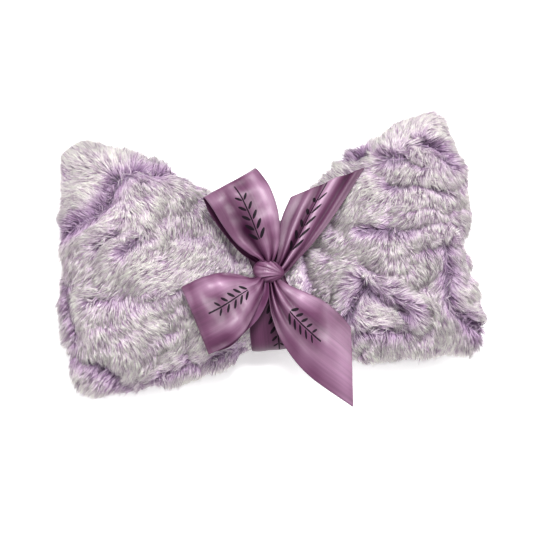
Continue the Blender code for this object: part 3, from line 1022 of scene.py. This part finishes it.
def gathered_by(roots, share, rng):
    """Picks this share of the strands as leaders, and finds each strand's nearest leader."""
    leaders = rng.choice(len(roots), size=int(len(roots) * share), replace=False)
    tree = KDTree(len(leaders))
    for k, leader in enumerate(leaders):
        tree.insert(roots[leader], k)
    tree.balance()
    return leaders, np.array([tree.find(root)[1] for root in roots])


def clumped(roots, middle, tip, up, rng):
    """Draws strands together into tufts: each leans to the tuft whose root is nearest."""
    leaders, nearest = gathered_by(roots, CLUMP_SHARE, rng)
    lead_middle, lead_tip = grow(roots[leaders], up[leaders], rng)
    pull = rng.normal(CLUMP_PULL, CLUMP_PULL_SPREAD, len(roots))
    pull = np.clip(pull, 0, CLUMP_PULL_MOST)[:, None]
    middle = middle + (lead_middle[nearest] - middle) * pull * CLUMP_PULL_AT_MIDDLE
    tip = tip + (lead_tip[nearest] - tip) * pull
    return middle, tip, nearest


def shades(roots, tuft, rng):
    """How dull each strand is, 0 to 1: shared by tufts and by the finer wisps within them, plus painted
    shade in folds.
    """
    wisps, wisp = gathered_by(roots, WISP_SHARE, rng)
    by_tuft = rng.random(int(tuft.max()) + 1)[tuft]
    by_wisp = rng.random(len(wisps))[wisp]
    shade = SHADE_BY_TUFT * by_tuft + SHADE_BY_WISP * by_wisp + SHADE_BY_STRAND * rng.random(len(roots))
    # Painted shade: strands in the crevice of a deep fold are darker.
    shade += SHADE_IN_CREVICE * parted(roots, CREVICE_REACH) - BRIGHTEN
    return np.clip(shade, 0.02, 0.98)


def lowest_ribbon(strips):
    """A function from a place in plan to the height of the lowest loop or tail above it, or None."""
    trees = []
    for strip in strips:
        mesh = strip.data
        trees.append(BVHTree.FromPolygons(
            [v.co for v in mesh.vertices], [tuple(p.vertices) for p in mesh.polygons],
        ))
    up = Vector((0, 0, 1))

    def height_at(x, y):
        found = [tree.ray_cast(Vector((x, y, 0)), up)[0] for tree in trees]
        heights = [hit.z for hit in found if hit]
        return min(heights) if heights else None

    return height_at


def pressed(points, strips):
    """Keeps strands above the table and below the loops and tails that lie on them."""
    height_at = lowest_ribbon(strips)
    ribbon = np.concatenate([read_points(strip.data) for strip in strips])[:, :2]
    place = points[:, :2]
    near = ((place > ribbon.min(axis=0)) & (place < ribbon.max(axis=0))).all(axis=1)
    near &= points[:, 2] > PRESSED_ABOVE
    for index in np.flatnonzero(near):
        height = height_at(points[index, 0], points[index, 1])
        if height is not None:
            points[index, 2] = min(points[index, 2], height - RIBBON_CLEARANCE)
    points[:, 2] = np.maximum(points[:, 2], TABLE_CLEARANCE)


def strand_corners(roots, middle, tip, up):
    """Each strand's seven corners: three round its root, three round its middle, and its tip."""
    side = unit(np.cross(tip - roots, up))
    top = unit(np.cross(side, tip - roots))
    corners = np.empty((len(roots), 7, 3))
    for k, way in enumerate((side, -side, top * STRAND_RIDGE)):
        corners[:, k] = roots + way * STRAND_RADIUS
        corners[:, 3 + k] = middle + way * STRAND_RADIUS * STRAND_TAPER
    corners[:, 6] = tip
    corners[:, :, 2] = np.maximum(corners[:, :, 2], TABLE_CLEARANCE / 2)
    return corners


def strand_faces(count):
    """The corners of every triangle, strand by strand: closed three-sided blades."""
    one = [(0, 1, 2)]
    for k in range(3):
        after = (k + 1) % 3
        one += [(k, 3 + k, 3 + after), (k, 3 + after, after), (3 + k, 6, 3 + after)]
    return (np.array(one)[None] + 7 * np.arange(count)[:, None, None]).reshape(-1)


def strand_uv(roots, shade):
    """For each corner, how dull its strand is, and how far along the strand it lies.

    In partings the second stops short of 1, so that strands stay lavender to their tips.
    """
    across = np.array((-1, 1, 0, -1, 1, 0, 0)) * 0.012
    along = np.array((0.0, 0.0, 0.0, 0.5, 0.5, 0.5, 1.0)) * 0.98 + 0.01
    frosted = 1 - PARTING_TINT * parted(roots, TINT_REACH)
    uv = np.empty((len(roots), 7, 2))
    uv[:, :, 0] = np.clip(shade[:, None] + across, 0, 1)
    uv[:, :, 1] = along * frosted[:, None]
    return uv.reshape(-1, 2)


def strand_mesh(name, roots, middle, tip, up, shade):
    """A mesh of strands, with the place of each corner's colour as its UV."""
    corners = strand_corners(roots, middle, tip, up).reshape(-1, 3)
    faces = strand_faces(len(roots))
    mesh = bpy.data.meshes.new(name)
    mesh.vertices.add(len(corners))
    mesh.vertices.foreach_set("co", corners.ravel())
    mesh.loops.add(len(faces))
    mesh.loops.foreach_set("vertex_index", faces.astype(np.int32))
    mesh.polygons.add(len(faces) // 3)
    mesh.polygons.foreach_set("loop_start", np.arange(0, len(faces), 3, dtype=np.int32))
    layer = mesh.uv_layers.new(name="OFBake")
    layer.data.foreach_set("uv", strand_uv(roots, shade)[faces].ravel())
    mesh.update(calc_edges=True)
    mesh.shade_smooth()
    return mesh


def build_fur(whole, strips):
    """Plants the fur and splits it into pieces by side and by length along the pillow."""
    rng = np.random.default_rng(SEED)
    count = STRANDS
    roots, up = scatter(whole.data, count, rng)
    middle, tip = grow(roots, up, rng)
    middle, tip, tuft = clumped(roots, middle, tip, up, rng)
    pressed(middle, strips)
    pressed(tip, strips)
    shade = shades(roots, tuft, rng)
    fur = fur_material()
    for side, label in SIDES:
        mine = np.flatnonzero(roots[:, 0] * side > 0)
        mine = mine[np.argsort(np.abs(roots[mine, 0]))]
        parts = math.ceil(len(mine) / STRANDS_PER_PIECE)
        for k, part in enumerate(np.array_split(mine, parts)):
            name = f"fur_{label}_{k + 1}"
            mesh = strand_mesh(name, roots[part], middle[part], tip[part], up[part], shade[part])
            obj = new_object(name, mesh)
            mesh.materials.append(fur)
            hang(obj)


# ---- ribbon


def crown_height(plan, run, across):
    """Height of the strip's arch at a share along and across it."""
    return plan["crown"] * MM * math.sin(math.pi * across) * math.sin(math.pi * min(run * 1.3, 1) * 0.5)


def pleat_height(plan, run, across):
    """Height of the pleats and swells at a share along and across a strip."""
    height = 0
    for place, tall, lasts, width in plan["pleats"]:
        height += tall * math.exp(-(run / lasts) ** 2 - ((across - place) / width) ** 2)
    height *= smoothstep(run, 0, 0.08)
    for run_at, across_at, length, width, tall in plan["swells"]:
        height += tall * math.exp(-((run - run_at) / length) ** 2 - ((across - across_at) / width) ** 2)
    return height * MM


def painted_light_uv(tone):
    """Where a painted tone from 0 (shade) to 1 (highlight) lies in its UV layer, just inside its square.
    """
    return min(max(tone, 0.01), 0.99), 0.5


def sheet(name, rows, first_u, u_span, satin, outward):
    """A grid of points and their tones as a sheet of ribbon. u runs along the ribbon, in mm.

    The sheet's face is on the outward side where the grid starts.
    """
    bm = bmesh.new()
    weave = bm.loops.layers.uv.new("weave")
    tone = bm.loops.layers.uv.new("relief")
    made = [[bm.verts.new(point) for point, _ in row] for row in rows]
    down, over = len(rows) - 1, len(rows[0]) - 1
    for i in range(down):
        for j in range(over):
            places = ((i, j), (i + 1, j), (i + 1, j + 1), (i, j + 1))
            face = bm.faces.new([made[a][b] for a, b in places])
            for loop, (a, b) in zip(face.loops, places):
                loop[weave].uv = (first_u + u_span * a / down / MM, RIBBON_WIDTH * b / over / MM)
                loop[tone].uv = painted_light_uv(rows[a][b][1])
    bm.normal_update()
    if bm.faces[:][0].normal.dot(outward) < 0:
        bmesh.ops.reverse_faces(bm, faces=bm.faces)
    mesh = finished(bm, name)
    for side in satin:
        mesh.materials.append(side)
    obj = new_object(name, mesh)
    solid = obj.modifiers.new("thickness", "SOLIDIFY")
    solid.thickness = RIBBON_THICKNESS
    solid.offset = 0
    solid.material_offset = 1
    smooth = obj.modifiers.new("smooth", "SUBSURF")
    smooth.levels = 1
    baked(obj)
    obj.data.shade_smooth()
    return obj


def fine_creases(reach, run, way):
    """Height of the fine creases at each place across a strip, at a share along it."""
    places = np.array([
        (reach * run * 0.4, RIBBON_WIDTH * j / SHEET_ACROSS, reach + way)
        for j in range(SHEET_ACROSS + 1)
    ])
    creases = waves(places, 15 * MM, SEED + 6) + 0.4 * waves(places, 6 * MM, SEED + 7)
    return creases * CREASE_HEIGHT


def bend_at_hinge(strip):
    """Moves the strip's placement into its mesh."""
    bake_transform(strip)


def build_strip(node, plan, satin):
    """One loop or tail, between its two edges."""
    is_loop = "loop" in node
    steps = SHEET_STEPS * (2 if is_loop else 1)
    left, reach = spline(plan["left"], steps)
    right, _ = spline(plan["right"], steps)
    rows = []
    for i in range(steps):
        share = i / (steps - 1)
        run = 1 - abs(2 * share - 1) if is_loop else share
        inside = is_loop and share > 0.5
        way = INNER_SIDE_HEIGHT if inside else 1
        # Painted shade darkens the strip by its root at the knot; a loop's inner side gets its own
        # painted shade.
        shaded = OUTER_TONE - ROOT_SHADE * (1 - smoothstep(run, 0, ROOT_SHADE_LENGTH))
        lit = plan["inner"] if inside else shaded
        row = []
        for j, crease in enumerate(fine_creases(reach, run, way)):
            across = j / SHEET_ACROSS
            height = pleat_height(plan, run, across) + crease
            point = left[i] * (1 - across) + right[i] * across
            point[2] += way * (height + crown_height(plan, run, across))
            # The pleats' and swells' height also paints highlight on crests and shade in hollows.
            row.append((Vector(point), lit + height / PAINTED_LIGHT_SPAN))
        rows.append(row)
    first_u = SPRIG_PITCH / 2 - plan["print_at"]
    name = node.replace("ribbon_", "satin_")
    strip = sheet(name, rows, first_u, reach, satin, outward=Vector((0, 0, 1)))
    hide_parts(node)
    bend_at_hinge(strip)
    return strip


def band_half(points):
    """Half the band's width at each place: it narrows on top, under the knot."""
    low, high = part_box("ribbon_band")
    half = (high.x - low.x) / 2
    knot_low, knot_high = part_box("ribbon_knot")
    knot_y = (knot_low.y + knot_high.y) / 2
    on_top = smoothstep(points[:, 2], (low.z + high.z) / 2, high.z)
    near = np.exp(-((points[:, 1] - knot_y) / BAND_NARROWS_WITHIN) ** 2) * on_top
    return half + (BAND_HALF_AT_KNOT - half) * near


def build_band(satin):
    """The band round the waist, gathered into pleats under the knot."""
    low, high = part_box("ribbon_band")
    knot_low, knot_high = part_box("ribbon_knot")
    knot_x = (knot_low.x + knot_high.x) / 2
    centre = (low + high) / 2
    depth = (high.y - low.y) / 2 - RIBBON_THICKNESS
    tall = (high.z - low.z) / 2 - RIBBON_THICKNESS
    rows = []
    for i in range(BAND_AROUND + 1):
        angle = math.tau * i / BAND_AROUND + math.pi * 1.5
        y = centre.y + depth * math.cos(angle)
        z = centre.z + tall * math.sin(angle)
        half = float(band_half(np.array([[0, y, z]]))[0])
        gathered = 1 - (half - BAND_HALF_AT_KNOT) / ((high.x - low.x) / 2 - BAND_HALF_AT_KNOT)
        outward = Vector((0, math.cos(angle) / depth, math.sin(angle) / tall)).normalized()
        row = []
        for j in range(BAND_ACROSS + 1):
            across = 2 * j / BAND_ACROSS - 1
            wave = math.cos(BAND_PLEATS * across + 0.4 * math.sin(2 * angle))
            ripple = BAND_RIPPLE * wave * (0.25 + gathered) - 0.5 * abs(across) ** 6
            point = Vector((across * half + knot_x * gathered, y, z)) + outward * ripple * MM
            # Painted tone: the band is painted in shade, lighter on its ripples and darker where it
            # gathers under the knot.
            row.append((point, BAND_TONE + 0.35 * ripple - 0.15 * gathered))
        rows.append(row)
    girth = math.pi * (depth + tall)
    band = sheet("satin_band", rows, 0, girth, satin, outward=Vector((0, 0, -1)))
    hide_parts("ribbon_band")
    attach(band, "waist")


def knot_shape(a, b):
    """How far out the knot's skin is at a place on a unit ball seen from above, and its painted tone."""
    fan = math.atan2(b - KNOT_FAN[1], KNOT_FAN[0] - a)
    fade = 1 - a * a
    pleat = KNOT_PLEAT_HEIGHT * math.cos(KNOT_PLEATS * fan + 0.8) * fade
    lap = sum(deep * smoothstep(fan, at, at + 0.05) for at, deep in KNOT_LAPS) * fade
    crevice = sum(math.exp(-((fan - at) / 0.035) ** 2) for at, _ in KNOT_LAPS) * fade
    dome = KNOT_DOME * smoothstep(-a, -0.4, 0.5)
    pinch = KNOT_PINCH * smoothstep(a, 0.2, 1.0)
    # Painted tone: highlight on pleats and laps, painted shade in the crevices at the laps' edges and
    # towards the ends.
    relief = KNOT_TONE + 6 * pleat + 1.2 * lap - 0.5 * crevice - 0.2 * abs(a) ** 3
    return 1 + pleat + lap + dome - pinch, relief


def build_knot(satin):
    """The knot: a rounded wrap with folds that run to its narrow right end."""
    low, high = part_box("ribbon_knot")
    centre = (low + high) / 2
    bm = bmesh.new()
    bmesh.ops.create_uvsphere(bm, u_segments=128, v_segments=72, radius=1)
    weave = bm.loops.layers.uv.new("weave")
    tone = bm.loops.layers.uv.new("relief")
    for face in bm.faces:
        for loop in face.loops:
            a, b, c = loop.vert.co
            loop[weave].uv = (6 * math.atan2(c, b), 5 + 3 * a)
            loop[tone].uv = painted_light_uv(knot_shape(a, b)[1])
    for vert in bm.verts:
        a, b, c = vert.co
        full = knot_shape(a, b)[0]
        vert.co = Vector((a * KNOT_RADII[0], b * KNOT_RADII[1] * full, c * KNOT_RADII[2] * full)) * MM
    bmesh.ops.rotate(bm, verts=bm.verts, matrix=Matrix.Rotation(KNOT_TURN, 3, "Z"))
    bmesh.ops.translate(bm, verts=bm.verts, vec=centre)
    mesh = finished(bm, "satin_knot")
    mesh.shade_smooth()
    mesh.materials.append(satin[0])
    knot = new_object("satin_knot", mesh)
    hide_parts("ribbon_knot")
    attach(knot, "waist")


def build_ribbon():
    satin = (satin_material("mauve_satin", False), satin_material("mauve_reverse", True))
    build_band(satin)
    build_knot(satin)
    return [build_strip(node, plan, satin) for node, plan in STRIPS.items()]


# ---- stage


def studio_world():
    """Even white light, and a backdrop that the camera sees as white."""
    world = bpy.data.worlds.new("studio")
    world.use_nodes = True
    tree = world.node_tree
    background = tree.nodes["Background"]
    background.inputs["Color"].default_value = (1, 1, 1, 1)
    path = tree.nodes.new("ShaderNodeLightPath")
    seen = tree.nodes.new("ShaderNodeMapRange")
    seen.inputs["To Min"].default_value = WORLD_LIGHT
    seen.inputs["To Max"].default_value = BACKDROP_LIGHT
    tree.links.new(path.outputs["Is Camera Ray"], seen.inputs["Value"])
    tree.links.new(seen.outputs[0], background.inputs["Strength"])
    return world


def build_stage():
    """Pale floor, even light from all round, and broad lamps above and to both sides."""
    mesh = bpy.data.meshes.new("floor")
    ways = ((-1, -1), (1, -1), (1, 1), (-1, 1))
    mesh.from_pydata([(x * FLOOR_HALF, y * FLOOR_HALF, 0) for x, y in ways], [], [(0, 1, 2, 3)])
    floor = new_object("floor", mesh)
    shader = Shader("floor", roughness=0.9)
    pale = shader.mix(shader.noise(shader.here(), 2.0), (0.90, 0.90, 0.90), (0.92, 0.92, 0.92))
    shader.feed("Base Color", pale)
    shader.feed("Emission Color", pale)
    shader.feed("Emission Strength", FLOOR_GLOW)
    mesh.materials.append(shader.made)
    bpy.context.scene.world = studio_world()
    for name, place, size, power in LIGHTS:
        light = bpy.data.lights.new(name, "AREA")
        light.size = size
        light.energy = power
        lamp = new_object(name, light)
        lamp.location = place
        lamp.rotation_euler = (LOOK_AT - Vector(place)).to_track_quat("-Z", "Y").to_euler()
    bpy.context.scene.view_settings.view_transform = "Standard"


def build_camera():
    """Nearly overhead, rolled so that the pillow's right end rides up."""
    ahead = Vector((0, math.cos(CAMERA_ELEVATION), -math.sin(CAMERA_ELEVATION)))
    level_up = Vector((0, math.sin(CAMERA_ELEVATION), math.cos(CAMERA_ELEVATION)))
    level_right = Vector((1, 0, 0))
    up = level_up * math.cos(CAMERA_ROLL) + level_right * math.sin(CAMERA_ROLL)
    right = level_right * math.cos(CAMERA_ROLL) - level_up * math.sin(CAMERA_ROLL)
    target = LOOK_AT - right * FRAME_SHIFT.x - up * FRAME_SHIFT.y
    data = bpy.data.cameras.new("camera")
    data.lens = data.sensor_width * CAMERA_DISTANCE / FRAME_WIDTH
    camera = new_object("camera", data)
    turn = Matrix((right, up, -ahead)).transposed().to_4x4()
    camera.matrix_world = Matrix.Translation(target - ahead * CAMERA_DISTANCE) @ turn
    bpy.context.scene.camera = camera


def dress_tapes():
    made = tape_material()
    for name in TAPE_NODES:
        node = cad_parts[name]
        node.data.materials.clear()
        node.data.materials.append(made)


def build():
    build_stage()
    build_camera()
    dress_tapes()
    whole = shaped_skin()
    strips = build_ribbon()
    build_skin(whole)
    build_inside(whole)
    build_fur(whole, strips)
    bpy.data.objects.remove(whole)


build()
